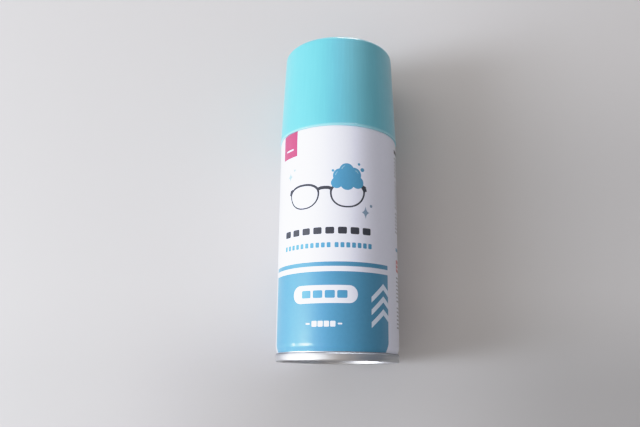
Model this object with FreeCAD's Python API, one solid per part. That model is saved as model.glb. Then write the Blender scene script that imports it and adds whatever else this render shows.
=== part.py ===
import FreeCAD, Part
import math
import os

os.makedirs("parts", exist_ok=True)

# Foam spray can for eyeglasses: a three-piece tinplate aerosol can, necked in at
# both ends, with a one-inch valve cup, a foam button and a full-diameter overcap.
# Frame: +Z up the can's axis, origin at the centre of the base rim's plane,
# spout and front of the printed sleeve towards -Y. All sizes are in millimetres.
#
# Profiles are lists of (r, z) or (r, z, bend radius) in the plane through the axis.
# Sheet metal is drawn on the middle of its plate.

# ---------------------------------------------------------------- driving sizes
BODY_R = 22.66          # outside radius of the straight tinplate body
BODY_T = 0.20           # body plate
END_T = 0.32            # plate of the pressed ends
CUP_T = 0.28            # plate of the valve cup

SEAM_GAP = 0.04         # lacquer and compound film between the seam's layers
SEAM_H = 2.90           # height of both double seams
BASE_NECK_R = 21.80     # outside radius of the body where it enters the base seam
TOP_NECK_R = 20.64      # outside radius of the body where it enters the top seam
BASE_RIM_Z = 0.0
TOP_RIM_Z = 90.00       # top of the top double seam
HOOK_BEND = 0.30        # bend radius of every seam hook
RIM_BEND = 0.35         # bend radius of the seams' rims
BODY_HOOK_TIP = 2.15    # distances from the rim into the can
END_HOOK_TIP = 0.98
COMPOUND_SPAN = (2.18, 2.42)

MOUTH_CLEAR_D = 25.4    # the one-inch opening
MOUTH_R = MOUTH_CLEAR_D / 2 + END_T / 2
CURL_TOP = 97.64        # middle of the plate at the top of the opening's bead
CURL_W = 2.48           # width and height of the bead

STEM_R = 1.95
STEM_TOP = 106.50
STEM_FLANGE_Z = 95.90   # underside of the stem's flange, where the spring pushes
HOUSING_R, CHAMBER_R = 4.15, 3.20
HOUSING_FLOOR = 88.60
SPOUT_Z = 108.60        # height of the spout's axis
SPOUT_REACH = 10.60     # how far the spout's mouth stands in front of the axis
INSERT_R = 2.40

V = FreeCAD.Vector


# ---------------------------------------------------------------- helpers
def left_of(direction):
    """The direction turned a quarter to the left in the r-z plane."""
    return V(-direction.z, 0, direction.x)


def offset_path(points, shift):
    """The bent path moved by shift to the left of travel.

    Each piece is a tuple of points: two for a line, three for an arc.
    """
    corners = [V(p[0], 0, p[1]) for p in points]
    bends = [p[2] if len(p) > 2 else 0.0 for p in points]
    bends[-1] = 0.0
    pieces = []
    here = corners[0]
    for i in range(1, len(corners)):
        corner, bend = corners[i], bends[i]
        travel = (corner - corners[i - 1]).normalize()
        reach = 0.0      # from the corner to the arc's ends
        if bend > 0:
            ahead = (corners[i + 1] - corner).normalize()
            reach = bend * math.tan(travel.getAngle(ahead) / 2)
        goal = corner - travel * reach
        if here.distanceToPoint(goal) > 1e-6:
            move = left_of(travel) * shift
            pieces.append((here + move, goal + move))
        here = goal
        if bend > 0:
            end = corner + ahead * reach
            side = 1 if left_of(travel).dot(ahead) > 0 else -1
            centre = goal + left_of(travel) * (side * bend)
            radius = bend - side * shift
            scale = radius / bend
            to_middle = ((goal + end) * 0.5 - centre).normalize()
            pieces.append((
                centre + (goal - centre) * scale,
                centre + to_middle * radius,
                centre + (end - centre) * scale,
            ))
            here = end
    return pieces


def spin(pieces):
    """Solid of revolution about Z from a closed run of lines and arcs."""
    edges = []
    for piece in pieces:
        if len(piece) == 3:
            edges.append(Part.Arc(*piece).toShape())
        elif piece[0].distanceToPoint(piece[1]) > 1e-7:
            edges.append(Part.LineSegment(*piece).toShape())
    face = Part.Face(Part.Wire(Part.__sortEdges__(edges)))
    solid = face.revolve(V(0, 0, 0), V(0, 0, 1), 360).Solids[0]
    if solid.Volume < 0:
        solid.reverse()
    return solid


def sheet(points, low, high):
    """Sheet metal of revolution: the plate between two offsets of one bent path."""
    there, back = offset_path(points, low), offset_path(points, high)
    far_end = (there[-1][-1], back[-1][-1])
    near_end = (back[0][0], there[0][0])
    return spin(there + [far_end] + [piece[::-1] for piece in reversed(back)] + [near_end])


def plate(points, thickness):
    return sheet(points, -thickness / 2, thickness / 2)


def turned(points):
    """A closed turned profile, with optional rounding at each corner."""
    # start on the middle of the last edge, so that every corner can be rounded
    first, last = points[0], points[-1]
    middle = ((last[0] + first[0]) / 2, (last[1] + first[1]) / 2)
    return spin(offset_path([middle] + points + [middle], 0.0))


def ring(r0, r1, z0, z1):
    return turned([(r0, z0), (r1, z0), (r1, z1), (r0, z1)])


def box(x0, x1, y0, y1, z0, z1):
    return Part.makeBox(x1 - x0, y1 - y0, z1 - z0, V(x0, y0, z0))


def at_angle(shape, angle):
    """Turn the shape about the can's axis, in degrees."""
    shape.rotate(V(0, 0, 0), V(0, 0, 1), angle)
    return shape


def save(shape, name):
    if shape.ShapeType == "Compound" and len(shape.Solids) == 1:
        shape = shape.Solids[0]
    shape.exportStep("parts/" + name + ".step")


# ---------------------------------------------------------------- double seams
# rim_z is the seam's outer face; inward is +1 at the base and -1 at the top.
SEAM_STEP = SEAM_GAP + END_T + SEAM_GAP + BODY_T       # body wall to body hook
BODY_TURN = END_T + SEAM_GAP + BODY_T / 2              # rim to the body's hook bend
END_CURL = SEAM_H - END_T / 2                          # rim to the end's curl


def body_hook(neck_r, rim_z, inward):
    """The body's hook, from its tip to the wall."""
    wall_r = neck_r - BODY_T / 2
    turn_z = rim_z + inward * BODY_TURN
    return [
        (wall_r + SEAM_STEP, rim_z + inward * BODY_HOOK_TIP),
        (wall_r + SEAM_STEP, turn_z, HOOK_BEND),
        (wall_r, turn_z, HOOK_BEND),
    ]


def seam_outer_r(neck_r):
    """Middle of the end's plate on the outside of the seam."""
    return neck_r + SEAM_STEP + SEAM_GAP + END_T / 2


def chuck_r(neck_r):
    """Middle of the end's plate on the inside of the body wall."""
    return neck_r - BODY_T - SEAM_GAP - END_T / 2


def end_hook(neck_r, rim_z, inward):
    """The pressed end's hook, from its tip over the rim to the chuck wall."""
    cover_r = neck_r + SEAM_GAP + END_T / 2
    curl_z = rim_z + inward * END_CURL
    edge_z = rim_z + inward * END_T / 2
    return [
        (cover_r, rim_z + inward * END_HOOK_TIP),
        (cover_r, curl_z, HOOK_BEND),
        (seam_outer_r(neck_r), curl_z, HOOK_BEND),
        (seam_outer_r(neck_r), edge_z, RIM_BEND),
        (chuck_r(neck_r), edge_z, RIM_BEND),
    ]


def seam_compound(neck_r, rim_z, inward):
    """Ring of compound beyond the tip of the body's hook."""
    hook_r = neck_r - BODY_T / 2 + SEAM_STEP
    z0, z1 = sorted(rim_z + inward * depth for depth in COMPOUND_SPAN)
    return ring(hook_r - BODY_T / 2, hook_r + BODY_T / 2, z0, z1)


BASE_SEAM = (BASE_NECK_R, BASE_RIM_Z, 1)
TOP_SEAM = (TOP_NECK_R, TOP_RIM_Z, -1)

# ---------------------------------------------------------------- can body
# One bent path from the base hook, up the wall, to the top hook.
BODY_WALL = [
    (BASE_NECK_R - BODY_T / 2, 3.80, 6.0),
    (BODY_R - BODY_T / 2, 7.20, 9.0),
    (BODY_R - BODY_T / 2, 84.50, 2.5),
    (TOP_NECK_R - BODY_T / 2, 86.30, 1.6),
]
WELD_Z, WELD_H, WELD_W = 10.0, 72.0, 1.10
WELD_SINK = 0.08        # bead's outer face below the body's outside
WELD_RISE = 0.12        # bead's inner face above the body's inside

can_body = plate(body_hook(*BASE_SEAM) + BODY_WALL + body_hook(*TOP_SEAM)[::-1], BODY_T)
# welded side seam: a low overlap bead inside the wall, at the back (+Y)
weld = Part.makeCylinder(BODY_R - WELD_SINK, WELD_H, V(0, 0, WELD_Z)).cut(
    Part.makeCylinder(BODY_R - BODY_T - WELD_RISE, WELD_H, V(0, 0, WELD_Z))
).common(box(-WELD_W / 2, WELD_W / 2, 15.0, 30.0, WELD_Z - 1, WELD_Z + WELD_H + 1))
save(can_body.fuse(weld), "can_body")

# ---------------------------------------------------------------- bottom end
DOME_Z = 8.90           # middle of the plate at the dome's centre
bottom_dome = plate(
    end_hook(*BASE_SEAM)
    + [(chuck_r(BASE_NECK_R), 4.05, 0.80), (10.60, DOME_Z, 45.0), (0.0, DOME_Z)],
    END_T,
)
save(bottom_dome, "bottom_dome")
save(seam_compound(*BASE_SEAM), "bottom_seam_compound")

# ---------------------------------------------------------------- top cone
GROOVE_Z = 86.60        # floor of the groove inside the top seam
CURL_OUTER_R = MOUTH_R + CURL_W
top_cone = plate(
    end_hook(*TOP_SEAM)
    + [
        (chuck_r(TOP_NECK_R), GROOVE_Z, 0.60),
        (18.75, GROOVE_Z, 0.60),
        (17.35, 92.20, 4.5),
        (MOUTH_R, 95.25, 0.70),
        (MOUTH_R, CURL_TOP, 1.20),
        (CURL_OUTER_R, CURL_TOP, 1.20),
        (CURL_OUTER_R, CURL_TOP - CURL_W, 1.20),
        (13.95, CURL_TOP - CURL_W),
    ],
    END_T,
)
save(top_cone, "top_cone")
save(seam_compound(*TOP_SEAM), "top_seam_compound")

# ---------------------------------------------------------------- valve cup and its gaskets
# Channel over the rolled bead, wall swaged out under it, floor, and the pedestal
# that holds the valve with a rolled crimp.
CUP_PROFILE = [
    (15.70, 95.00), (16.02, 95.60, 0.5), (16.02, 98.60, 1.45), (12.46, 98.60, 1.45),
    (12.46, 94.95, 0.45), (13.45, 94.15, 0.35), (13.45, 93.45, 0.35),
    (12.20, 92.30, 0.60), (9.20, 92.30, 0.9), (7.80, 92.75, 0.9),
    (5.20, 92.75, 0.45), (5.20, 94.10, 0.4), (4.88, 94.65, 0.3), (5.20, 95.20, 0.4),
    (5.20, 98.30, 0.80), (2.35, 98.30),
]
CUP_GASKET_PROFILE = [
    (13.55, 97.83), (14.90, 97.83), (14.90, 98.33, 0.12), (13.55, 98.33, 0.12),
]
save(plate(CUP_PROFILE, CUP_T), "mounting_cup")
save(turned(CUP_GASKET_PROFILE), "cup_gasket")
save(ring(1.98, 4.50, 97.10, 98.13), "stem_gasket")

# ---------------------------------------------------------------- valve housing
TAIL_R, TAIL_Z, TAIL_BORE_R = 1.57, 79.00, 1.00
TAIL_ROOT_Z = 87.00
COLLAR_R, COLLAR_Z, HOUSING_TOP = 4.72, 95.60, 97.07
housing = turned([
    (TAIL_BORE_R, TAIL_Z),
    (TAIL_R - 0.20, TAIL_Z),
    (TAIL_R, TAIL_Z + 0.5),
    (TAIL_R, TAIL_ROOT_Z, 0.4),
    (3.40, TAIL_ROOT_Z, 0.6),
    (HOUSING_R, 88.40, 0.8),
    (HOUSING_R, COLLAR_Z, 0.2),
    (COLLAR_R, COLLAR_Z, 0.2),
    (COLLAR_R, HOUSING_TOP, 0.15),
    (CHAMBER_R + 0.25, HOUSING_TOP),
    (CHAMBER_R, 96.70),
    (CHAMBER_R, HOUSING_FLOOR, 0.3),
    (TAIL_BORE_R, HOUSING_FLOOR),
])
# four guide ribs on the outside of the housing's lower half
for k in range(4):
    rib = box(HOUSING_R - 0.3, HOUSING_R + 0.22, -0.35, 0.35, 89.2, 93.0)
    housing = housing.fuse(at_angle(rib, 45 + 90 * k))
save(housing, "valve_housing")

# ---------------------------------------------------------------- valve stem
STEM_BORE_R, STEM_BORE_Z = 1.05, 97.30
STEM_FOOT_Z = 93.40
FLANGE_R, FLANGE_TOP = 2.90, 97.05
SIDE_HOLE_R, SIDE_HOLE_Z, SIDE_HOLE_L = 0.28, 97.62, 6.0
stem = turned([
    (STEM_BORE_R, STEM_TOP),
    (STEM_BORE_R, STEM_BORE_Z),
    (0.0, STEM_BORE_Z),
    (0.0, STEM_FOOT_Z),
    (1.20, STEM_FOOT_Z, 0.2),
    (1.80, 94.00, 0.2),
    (1.80, STEM_FLANGE_Z),
    (FLANGE_R, STEM_FLANGE_Z, 0.1),
    (FLANGE_R, FLANGE_TOP, 0.15),
    (STEM_R, FLANGE_TOP),
    (STEM_R, STEM_TOP, 0.25),
])
# two crossed side holes, closed by the gasket at rest
for angle in (0, 90):
    start = V(-SIDE_HOLE_L / 2, 0, SIDE_HOLE_Z)
    hole = Part.makeCylinder(SIDE_HOLE_R, SIDE_HOLE_L, start, V(1, 0, 0))
    stem = stem.cut(at_angle(hole, angle))
save(stem, "valve_stem")

# ---------------------------------------------------------------- valve spring
WIRE_R, COIL_R, TURNS = 0.225, 2.42, 6
SPRING_GAP = 0.04       # air at each end of the spring
SPRING_Z0 = HOUSING_FLOOR + SPRING_GAP + WIRE_R
SPRING_Z1 = STEM_FLANGE_Z - SPRING_GAP - WIRE_R
lead = (SPRING_Z1 - SPRING_Z0) / TURNS
# the coil's centre line, one edge for each half turn
centre_line = []
for k in range(2 * TURNS):
    half_turn = at_angle(Part.makeHelix(lead, lead / 2, COIL_R), 180 * k)
    half_turn.translate(V(0, 0, SPRING_Z0 + lead / 2 * k))
    centre_line += half_turn.Edges
wire_section = Part.Wire(
    Part.makeCircle(WIRE_R, V(COIL_R, 0, SPRING_Z0), V(0, 2 * math.pi * COIL_R, lead))
)
save(Part.Wire(centre_line).makePipeShell([wire_section], True, True), "valve_spring")

# ---------------------------------------------------------------- dip tube
# Straight over the housing's tail, then a long curve towards +X to the bottom corner.
TUBE_OUTER_R, TUBE_INNER_R = 2.10, 1.60
TUBE_TOP = 86.60
TUBE_BEND_Z = 48.10     # where the tube leaves the axis
TUBE_BEND_R = 60.0
TUBE_ANGLE = math.radians(40.0)


def tube(radius, end_extra=0.0):
    """A solid rod along the tube's path, run on straight by end_extra."""
    def on_bend(angle):
        return V(
            TUBE_BEND_R * (1 - math.cos(angle)), 0, TUBE_BEND_Z - TUBE_BEND_R * math.sin(angle)
        )

    top, bend_start, end = V(0, 0, TUBE_TOP), V(0, 0, TUBE_BEND_Z), on_bend(TUBE_ANGLE)
    edges = [
        Part.LineSegment(top, bend_start).toShape(),
        Part.Arc(bend_start, on_bend(TUBE_ANGLE / 2), end).toShape(),
    ]
    if end_extra:
        run_on = V(math.sin(TUBE_ANGLE) * end_extra, 0, -math.cos(TUBE_ANGLE) * end_extra)
        edges.append(Part.LineSegment(end, end + run_on).toShape())
    section = Part.Wire(Part.makeCircle(radius, top, V(0, 0, 1)))
    return Part.Wire(edges).makePipeShell([section], True, True)


save(tube(TUBE_OUTER_R).cut(tube(TUBE_INNER_R, 0.5)), "dip_tube")

# ---------------------------------------------------------------- liquid
FILL_Z = 68.00          # liquid level
LIQUID_PROFILE = [
    (0.0, 9.35), (9.6, 9.35), (21.20, 4.75), (21.45, 5.00), (22.20, 9.20),
    (22.34, 11.0), (22.34, FILL_Z), (0.0, FILL_Z),
]
liquid = turned(LIQUID_PROFILE)
# The weld bead stands inside the wall, so the liquid is relieved along it.
liquid = liquid.cut(box(-0.7, 0.7, 22.0, 23.0, 3.0, 90.0))
liquid = liquid.cut(tube(TUBE_OUTER_R + 0.05, 0.6))
save(liquid, "liquid_fill")

# ---------------------------------------------------------------- foam button
BUTTON_R = 6.40
BUTTON_TOP = 113.50
SKIRT_R, SKIRT_Z, SKIRT_INNER_R = BUTTON_R + 0.25, 96.20, 5.60
SOCKET_R, SOCKET_Z, SOCKET_WALL_R = 1.99, 101.20, 3.10
SOCKET_TOP = STEM_TOP + 0.05
DUCT_R, DUCT_TOP = 1.15, SPOUT_Z + 1.10
SPOUT_R, SPOUT_ROOT = 3.30, 3.6
RIDGE_R, RIDGE_L = 0.28, 5.6


def forward_cylinder(radius, length, start):
    """Cylinder on the spout's axis, from start in front of the can's axis."""
    return Part.makeCylinder(radius, length, V(0, -start, SPOUT_Z), V(0, -1, 0))


button = turned([
    (SOCKET_R, SOCKET_Z),
    (SOCKET_R, SOCKET_TOP),
    (DUCT_R, SOCKET_TOP),
    (DUCT_R, DUCT_TOP),
    (0.0, DUCT_TOP),
    (0.0, BUTTON_TOP - 1.05),
    (3.9, BUTTON_TOP - 0.55, 3.0),
    (5.10, BUTTON_TOP, 0.45),
    (5.72, BUTTON_TOP - 0.55, 0.9),
    (6.05, 106.0, 30.0),
    (BUTTON_R, 98.2, 3.0),
    (SKIRT_R, 97.4, 0.3),
    (SKIRT_R, SKIRT_Z, 0.15),
    (SKIRT_INNER_R, SKIRT_Z),
    (SKIRT_INNER_R, 100.40, 0.3),
    (SOCKET_WALL_R, 100.40),
    (SOCKET_WALL_R, SOCKET_Z),
])
spout = forward_cylinder(SPOUT_R, SPOUT_REACH - SPOUT_ROOT, SPOUT_ROOT)
mouth_edges = [
    e for e in spout.Edges
    if abs(e.CenterOfMass.y + SPOUT_REACH) < 0.01 and e.Closed and e.Length > 5
]
button = button.fuse(spout.makeFillet(0.35, mouth_edges))
button = button.cut(forward_cylinder(1.00, 5.0, 0.0))
button = button.cut(forward_cylinder(INSERT_R + 0.03, 20.0, 4.0))
# three low grip ridges across the finger pad
for y in (-1.7, 0.0, 1.7):
    start = V(-RIDGE_L / 2, y, BUTTON_TOP - 0.88)
    button = button.fuse(Part.makeCylinder(RIDGE_R, RIDGE_L, start, V(1, 0, 0)))
save(button, "actuator")

# ---------------------------------------------------------------- nozzle insert
# Turned on its own axis, mouth at z = 0, then laid down with the mouth to the front.
INSERT_BORE_R, INSERT_L, INSERT_LIP_Z = 1.50, 6.3, 5.6
INSERT_RECESS = 0.25    # mouth of the insert behind the mouth of the spout
insert = turned([
    (INSERT_BORE_R, 0.0), (INSERT_R, 0.0, 0.25), (INSERT_R, INSERT_L),
    (1.15, INSERT_L), (1.15, INSERT_LIP_Z), (INSERT_BORE_R, INSERT_LIP_Z),
])
insert.rotate(V(0, 0, 0), V(1, 0, 0), -90)       # +Z of the profile becomes +Y
insert.translate(V(0, -SPOUT_REACH + INSERT_RECESS, SPOUT_Z))
save(insert, "nozzle_insert")

# ---------------------------------------------------------------- printed sleeve
# Film shrunk on the wall: it follows the lower neck-in and ends under the cap's lip.
FILM_GAP = 0.02         # air between tinplate and sleeve
FILM_T = 0.08
SLEEVE_Z0, SLEEVE_Z1 = 3.10, 84.25
film_inside = BODY_T / 2 + FILM_GAP
sleeve = sheet(
    [(BASE_NECK_R - BODY_T / 2, 2.50)] + BODY_WALL, -(film_inside + FILM_T), -film_inside
)
sleeve = sleeve.common(Part.makeCylinder(40.0, SLEEVE_Z1 - SLEEVE_Z0, V(0, 0, SLEEVE_Z0)))
save(sleeve, "shrink_label")

# ---------------------------------------------------------------- overcap
CAP_Z0, CAP_Z1 = 84.45, 121.90
CAP_LIP_R, CAP_TOP_R = 22.99, 21.48     # outside radius at the skirt's lip and at the crown
CAP_CROWN = 1.60        # rounding between side and crown
CAP_WALL = 1.00
CAP_TOP_T = 1.30
CAP_BAND_R = CAP_LIP_R + 0.06           # low band round the lip


def cap_r(z):
    """Outside radius of the tapered side."""
    return CAP_LIP_R - (CAP_LIP_R - CAP_TOP_R) / (CAP_Z1 - CAP_Z0) * (z - CAP_Z0)


shell = turned([
    (0.0, CAP_Z1),
    (CAP_TOP_R, CAP_Z1, CAP_CROWN),
    (cap_r(CAP_Z0 + 0.9), CAP_Z0 + 0.9),
    (CAP_BAND_R, CAP_Z0 + 0.75, 0.1),
    (CAP_BAND_R, CAP_Z0, 0.18),
    (CAP_LIP_R - 0.50, CAP_Z0, 0.10),
    (cap_r(85.60) - CAP_WALL, 85.60),
    (CAP_TOP_R - CAP_WALL, CAP_Z1 - CAP_TOP_T, 1.0),
    (0.0, CAP_Z1 - CAP_TOP_T),
])
# six snap beads under the top seam; they stop short of the seam's outside
BEAD_R = seam_outer_r(TOP_NECK_R) + END_T / 2 + 0.05
BEAD_W = 8.4
bead_ring = turned([(BEAD_R, 86.50), (22.2, 86.05), (22.2, 87.15), (BEAD_R, 86.70)])
for k in range(6):
    wedge = at_angle(box(0, 30, -BEAD_W / 2, BEAD_W / 2, 85, 88), 30 + 60 * k)
    shell = shell.fuse(bead_ring.common(wedge))
# twelve inner ribs that stop the cap just over the top seam
RIB_Z, RIB_R, RIB_T = TOP_RIM_Z + 0.06, 20.75, 0.9
RIB_OUTLINE = [(RIB_R, RIB_Z), (22.20, RIB_Z), (21.75, 103.0), (RIB_R, 101.0), (RIB_R, RIB_Z)]
for k in range(12):
    outline = Part.makePolygon([V(r, 0, z) for r, z in RIB_OUTLINE])
    rib = Part.Face(outline).extrude(V(0, RIB_T, 0))
    rib.translate(V(0, -RIB_T / 2, 0))
    shell = shell.fuse(at_angle(rib, 15 + 30 * k))
# sprue mark in a shallow dimple at the middle of the crown
shell = shell.cut(Part.makeCylinder(1.60, 1.0, V(0, 0, CAP_Z1 - 0.12)))
shell = shell.fuse(Part.makeCone(0.70, 0.50, 0.10, V(0, 0, CAP_Z1 - 0.14)))
save(shell, "overcap")
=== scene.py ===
"""A spray can of cleaner with a printed shrink sleeve and a turquoise overcap.

The can's axis is +Z and its foot is at z = 0. The sleeve's front faces -Y, so +X is on the
right seen from the front. The scene is in metres; the design values are in millimetres.
"""
import math
import random
import bpy
import numpy as np
from mathutils import Matrix, Vector
from mathutils.geometry import delaunay_2d_cdt


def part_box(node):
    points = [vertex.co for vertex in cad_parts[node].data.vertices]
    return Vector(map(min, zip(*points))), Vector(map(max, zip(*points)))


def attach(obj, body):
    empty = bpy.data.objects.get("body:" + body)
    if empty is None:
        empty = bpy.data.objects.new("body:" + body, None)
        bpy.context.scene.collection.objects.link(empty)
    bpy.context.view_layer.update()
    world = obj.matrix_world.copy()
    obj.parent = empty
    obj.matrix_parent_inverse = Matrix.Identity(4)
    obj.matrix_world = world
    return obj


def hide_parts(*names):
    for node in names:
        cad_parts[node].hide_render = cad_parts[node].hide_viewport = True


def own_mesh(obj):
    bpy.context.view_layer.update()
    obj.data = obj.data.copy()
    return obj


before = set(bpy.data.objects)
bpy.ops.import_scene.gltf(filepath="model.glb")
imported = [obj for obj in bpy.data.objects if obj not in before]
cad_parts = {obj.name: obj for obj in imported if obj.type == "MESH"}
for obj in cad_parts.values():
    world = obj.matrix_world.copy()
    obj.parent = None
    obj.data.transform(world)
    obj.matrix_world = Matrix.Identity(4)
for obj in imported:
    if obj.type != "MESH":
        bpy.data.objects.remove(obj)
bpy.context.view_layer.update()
MM = 0.001


# ---------------------------------------------------------------- shader helpers
class Value:
    """A node's output. Arithmetic on it adds math nodes to the same tree."""

    def __init__(self, net, socket):
        self.net = net
        self.socket = socket

    def __add__(self, other):
        return self.net.math("ADD", self, other)

    def __radd__(self, other):
        return self.net.math("ADD", other, self)

    def __sub__(self, other):
        return self.net.math("SUBTRACT", self, other)

    def __rsub__(self, other):
        return self.net.math("SUBTRACT", other, self)

    def __mul__(self, other):
        return self.net.math("MULTIPLY", self, other)


class Net:
    """Builds the node tree of a material, light or world from Values and plain values."""

    def __init__(self, owner):
        owner.use_nodes = True
        self.owner = owner
        self.tree = owner.node_tree
        self.tree.nodes.clear()

    def put(self, socket, value):
        if isinstance(value, Value):
            self.tree.links.new(value.socket, socket)
        elif socket.type == "RGBA" and len(value) == 3:
            socket.default_value = (*value, 1.0)
        else:
            socket.default_value = value

    def add(self, kind, inputs, output=0, **settings):
        """A new node, with inputs by index or name; returns one of its outputs."""
        node = self.tree.nodes.new(kind)
        for name, value in settings.items():
            setattr(node, name, value)
        for key, value in inputs.items():
            self.put(node.inputs[key], value)
        return Value(self, node.outputs[output])

    def math(self, operation, first, second=0.0):
        return self.add("ShaderNodeMath", {0: first, 1: second, 2: 0.0}, operation=operation)

    def scale(self, vector, factor):
        return self.add("ShaderNodeVectorMath", {0: vector, "Scale": factor}, operation="SCALE")

    def measure(self, operation, *vectors):
        """A vector operation that gives a number, such as DOT_PRODUCT."""
        return self.add("ShaderNodeVectorMath", dict(enumerate(vectors)), "Value",
                        operation=operation)

    def separate(self, vector):
        x = self.add("ShaderNodeSeparateXYZ", {0: vector})
        return [Value(self, socket) for socket in x.socket.node.outputs]

    def combine(self, x, y, z):
        """A vector. Factors on its parts squeeze a pattern (large) or stretch it (small)."""
        return self.add("ShaderNodeCombineXYZ", {0: x, 1: y, 2: z})

    def noise(self, vector, scale=1.0, detail=3.0, rough=0.5, distortion=0.0):
        return self.add("ShaderNodeTexNoise", {
            "Vector": vector, "Scale": scale, "Detail": detail, "Roughness": rough,
            "Distortion": distortion})

    def voronoi(self, vector, scale=1.0, feature="F1"):
        return self.add("ShaderNodeTexVoronoi", {"Vector": vector, "Scale": scale}, "Distance",
                        feature=feature)

    def ramp(self, value, start, end, before=0.0, after=1.0):
        """Smooth step from one level to another as value goes from start to end."""
        return self.add("ShaderNodeMapRange",
                        {0: value, 1: start, 2: end, 3: before, 4: after},
                        interpolation_type="SMOOTHSTEP", clamp=True)

    def fade(self, value, start, end):
        return self.ramp(value, start, end, before=1.0, after=0.0)

    def mix(self, amount, first, second, blend="MIX"):
        return self.add("ShaderNodeMix", {0: amount, 6: first, 7: second}, 2,
                        data_type="RGBA", blend_type=blend)

    def bump(self, height, strength, distance, normal=None):
        inputs = {"Height": height, "Strength": strength, "Distance": distance}
        if normal is not None:
            inputs["Normal"] = normal
        return self.add("ShaderNodeBump", inputs)

    def place(self):
        """Position on the object, in millimetres."""
        return self.scale(self.add("ShaderNodeTexCoord", {}, "Object"), 1000.0)

    def radius(self, x, y):
        return self.math("SQRT", x * x + y * y)

    def angle(self, x, y):
        """Angle round the can, from -Y towards +X."""
        return self.math("ARCTAN2", x, y * -1.0)

    def shader(self, kind, **inputs):
        return self.add(kind, {key.replace("_", " "): value for key, value in inputs.items()})

    def finish(self, kind, value):
        """Wire value to a new output node; returns the material, light or world."""
        self.put(self.tree.nodes.new(kind).inputs[0], value)
        return self.owner

    def principled(self, **inputs):
        """Finish a material with one Principled shader."""
        shader = self.shader("ShaderNodeBsdfPrincipled", **inputs)
        return self.finish("ShaderNodeOutputMaterial", shader)


def material_net(name):
    return Net(bpy.data.materials.new(name))


def lighter(colour, gain, lift):
    return tuple(min(1.0, part * gain + lift) for part in colour)


# ---------------------------------------------------------------- metals
# stretch of the rolling grain on x, y and z
GRAIN_ALONG_X = (0.12, 5.0, 5.0)
GRAIN_ALONG_Z = (5.0, 5.0, 0.12)
SEAM_OUTSIDE = (22.3, 22.6)     # radii between which the bottom seam's outside begins


def tinplate(name, grain=GRAIN_ALONG_X, tone=1.0, seam=False):
    """Tin-plated steel: rolling grain, rings where it was worked, matt spots, scratches;
    painted shade on a seam.
    """
    net = material_net(name)
    place = net.place()
    x, y, z = net.separate(place)
    radius = net.radius(x, y)
    along = net.combine(*[part * factor for part, factor in zip((x, y, z), grain)])
    rolled = net.noise(along, detail=4.0, rough=0.6)
    rings = net.noise(net.combine(x * 0.10, y * 0.10, z * 9.0 + radius * 9.0), rough=0.6)
    worked = net.ramp(radius, 20.9, 21.3)
    line = rolled * (1.0 - worked) + rings * worked
    cloud = net.noise(place, scale=0.35, detail=4.0, rough=0.55)
    spot = net.ramp(net.noise(place, scale=1.9, rough=0.6), 0.60, 0.74)
    cells = net.voronoi(net.combine(x * 0.25, y * 1.7, z * 0.9), feature="DISTANCE_TO_EDGE")
    scratch = net.fade(cells, 0.0, 0.035)
    scratch = scratch * net.ramp(net.noise(place, scale=0.8, detail=2.0), 0.50, 0.60)
    foot = net.fade(z, 0.02, 0.35)

    dark, light, lined = (
        tuple(part * tone for part in colour)
        for colour in ((0.66, 0.67, 0.69), (0.82, 0.82, 0.83), (0.58, 0.58, 0.60)))
    base = net.mix(cloud, dark, light)
    base = net.mix(line * 0.35, base, lined)
    base = net.mix(spot * 0.25, base, (0.50, 0.50, 0.51))
    base = net.mix(foot * 0.45, base, (0.42, 0.42, 0.43))
    rough = 0.33 + (line * 0.10 + (spot * 0.08 + scratch * 0.06))
    rough = rough + foot * 0.15
    normal = net.bump(line, strength=0.22, distance=0.00001)
    normal = net.bump(scratch, strength=0.12, distance=0.000005, normal=normal)
    waves = net.noise(place, scale=0.22, detail=2.0)
    normal = net.bump(waves, strength=0.4, distance=0.00008, normal=normal)
    if seam:
        # the outside of the seam is a little rounded about its middle height
        off = z - 1.35
        belly = off * off * -0.060 * net.ramp(radius, *SEAM_OUTSIDE)
        normal = net.bump(belly, strength=1.0, distance=0.001, normal=normal)
        # painted shade: the seam's upper half is darkened, and made a little rougher
        seam_top_painted_shade = net.ramp(z, 1.50, 2.60) * net.ramp(radius, *SEAM_OUTSIDE)
        base = net.mix(seam_top_painted_shade * 0.62, base, (0.22, 0.23, 0.25))
        rough = rough + seam_top_painted_shade * 0.12
        # painted shadow: the seam is darkened in the crevice under the sleeve's edge
        crevice_painted_shadow = net.ramp(z, 2.50, 2.78) * net.ramp(radius, 21.7, 21.9)
        base = net.mix(crevice_painted_shadow * 0.92, base, (0.10, 0.10, 0.11))
        rough = rough + crevice_painted_shadow * 0.38
    return net.principled(Base_Color=base, Metallic=1.0, Roughness=rough, Normal=normal)


def drawn_wire(name):
    net = material_net(name)
    place = net.place()
    x, y, z = net.separate(place)
    round_wire = net.combine(net.radius(x, y) * 40.0, net.angle(x, y) * 1.2, z * 30.0)
    die_lines = net.noise(round_wire, detail=2.0, rough=0.6)
    cloud = net.noise(place, scale=1.5)
    return net.principled(
        Base_Color=net.mix(cloud, (0.52, 0.52, 0.54), (0.70, 0.70, 0.71)), Metallic=1.0,
        Roughness=0.20 + die_lines * 0.18,
        Normal=net.bump(die_lines, strength=0.3, distance=0.00001))


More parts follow.
